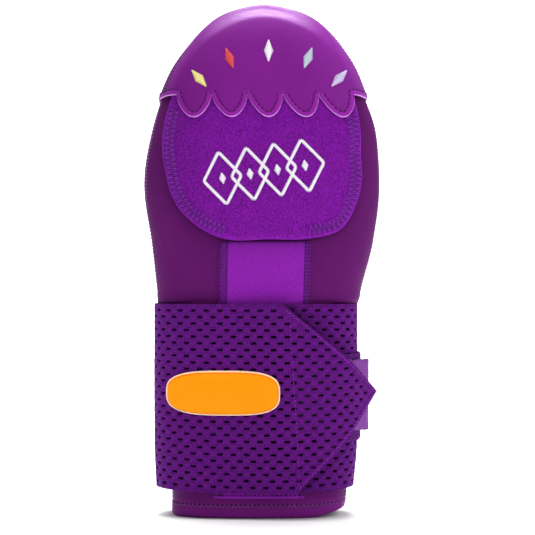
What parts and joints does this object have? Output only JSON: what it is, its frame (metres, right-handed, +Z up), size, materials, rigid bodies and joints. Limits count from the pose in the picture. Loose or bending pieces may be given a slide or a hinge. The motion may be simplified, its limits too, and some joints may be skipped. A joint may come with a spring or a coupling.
{
  "type": "sliding mitt",
  "caption": "Padded sliding mitt: closed neoprene pocket for a hand, leather fingertip cap, knuckle pad and perforated elastic wrist wrap with hook and loop closure.",
  "frame": {"origin": "on the surface that the cuff stands on, under the middle of the mitt's box", "axes": "+Z up along the fingers, the back of the hand faces -Y, +X to the right when looking at the back of the hand"},
  "size_m": [0.1289, 0.0604, 0.279],
  "materials": {
    "neoprene": "smooth matt knit over foam rubber",
    "leather": "smooth satin leather",
    "plush": "short brushed pile",
    "loop_tape": "fine brushed loop tape",
    "elastic": "perforated woven elastic",
    "loop": "dark loop pile",
    "hook": "ribbed hook tape",
    "badge_rubber": "soft satin rubber",
    "thread_light": "satin embroidery thread"
  },
  "bodies": {
    "root": {"backhand_panel": "neoprene", "palm_panel": "neoprene", "fingertip_cap_front": "leather", "fingertip_cap_palm": "leather", "knuckle_pad": "plush", "centre_strip": "loop_tape", "wrist_wrap": "elastic", "loop_patch": "loop", "hook_patch": "hook", "badge": "badge_rubber"}
  },
  "joints": []
}
